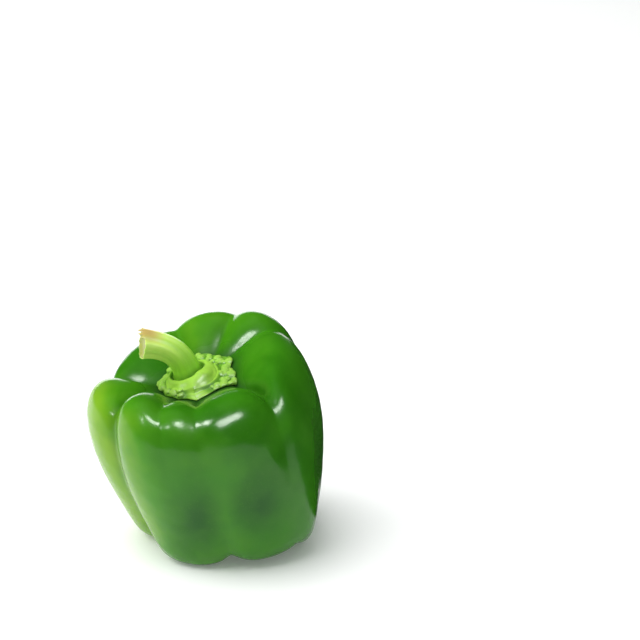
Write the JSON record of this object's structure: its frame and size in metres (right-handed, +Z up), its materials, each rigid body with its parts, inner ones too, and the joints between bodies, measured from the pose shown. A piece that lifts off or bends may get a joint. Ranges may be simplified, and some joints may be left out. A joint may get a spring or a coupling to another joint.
{
  "type": "bell pepper",
  "caption": "Blocky green bell pepper that stands on its feet, leaning a little, with deep lobes, a warty calyx and a curved stem.",
  "frame": {"origin": "on the surface that the pepper stands on, in the middle of its bounding box seen from above", "axes": "+Z up; -Y towards the viewer of the picture; the stem curves over towards -X"},
  "size_m": [0.0882, 0.0894, 0.0876],
  "materials": {
    "fruit_skin": "smooth waxy green pepper skin with sharp highlights, brighter yellow-green on the side that leans out",
    "calyx_green": "light yellow-green, finely warty, half matt",
    "stem_green": "light green with fine lengthwise ribs, dry and tan at the cut end"
  },
  "bodies": {
    "root": {"fruit": "fruit_skin", "calyx": "calyx_green", "stem": "stem_green"}
  },
  "joints": []
}
